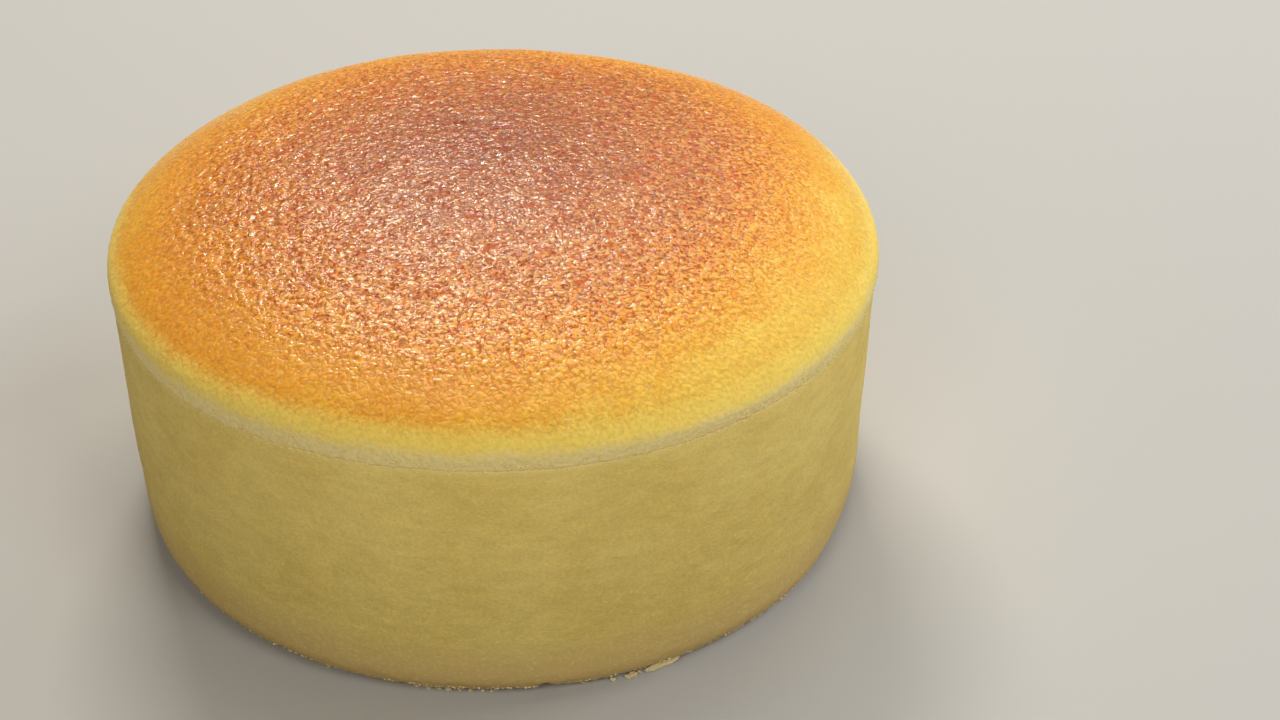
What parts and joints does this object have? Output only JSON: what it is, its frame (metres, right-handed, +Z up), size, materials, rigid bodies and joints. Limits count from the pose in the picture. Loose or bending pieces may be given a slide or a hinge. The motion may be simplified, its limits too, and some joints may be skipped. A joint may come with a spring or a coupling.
{
  "type": "jiggly cheesecake",
  "caption": "Whole round jiggly cheesecake, uncut, with a low domed browned top, a pale lip and a straight sponge side.",
  "frame": {"origin": "middle of the flat underside, on the surface the cake rests on", "axes": "+Z up through the middle of the dome; -Y is the side shown to the front"},
  "size_m": [0.1504, 0.1496, 0.074],
  "materials": {
    "sponge": "soft baked sponge: fine pores and a matte pale yellow side, and a browned, pebbly top with an egg-like sheen"
  },
  "bodies": {
    "root": {"cheesecake": "sponge"}
  },
  "joints": []
}
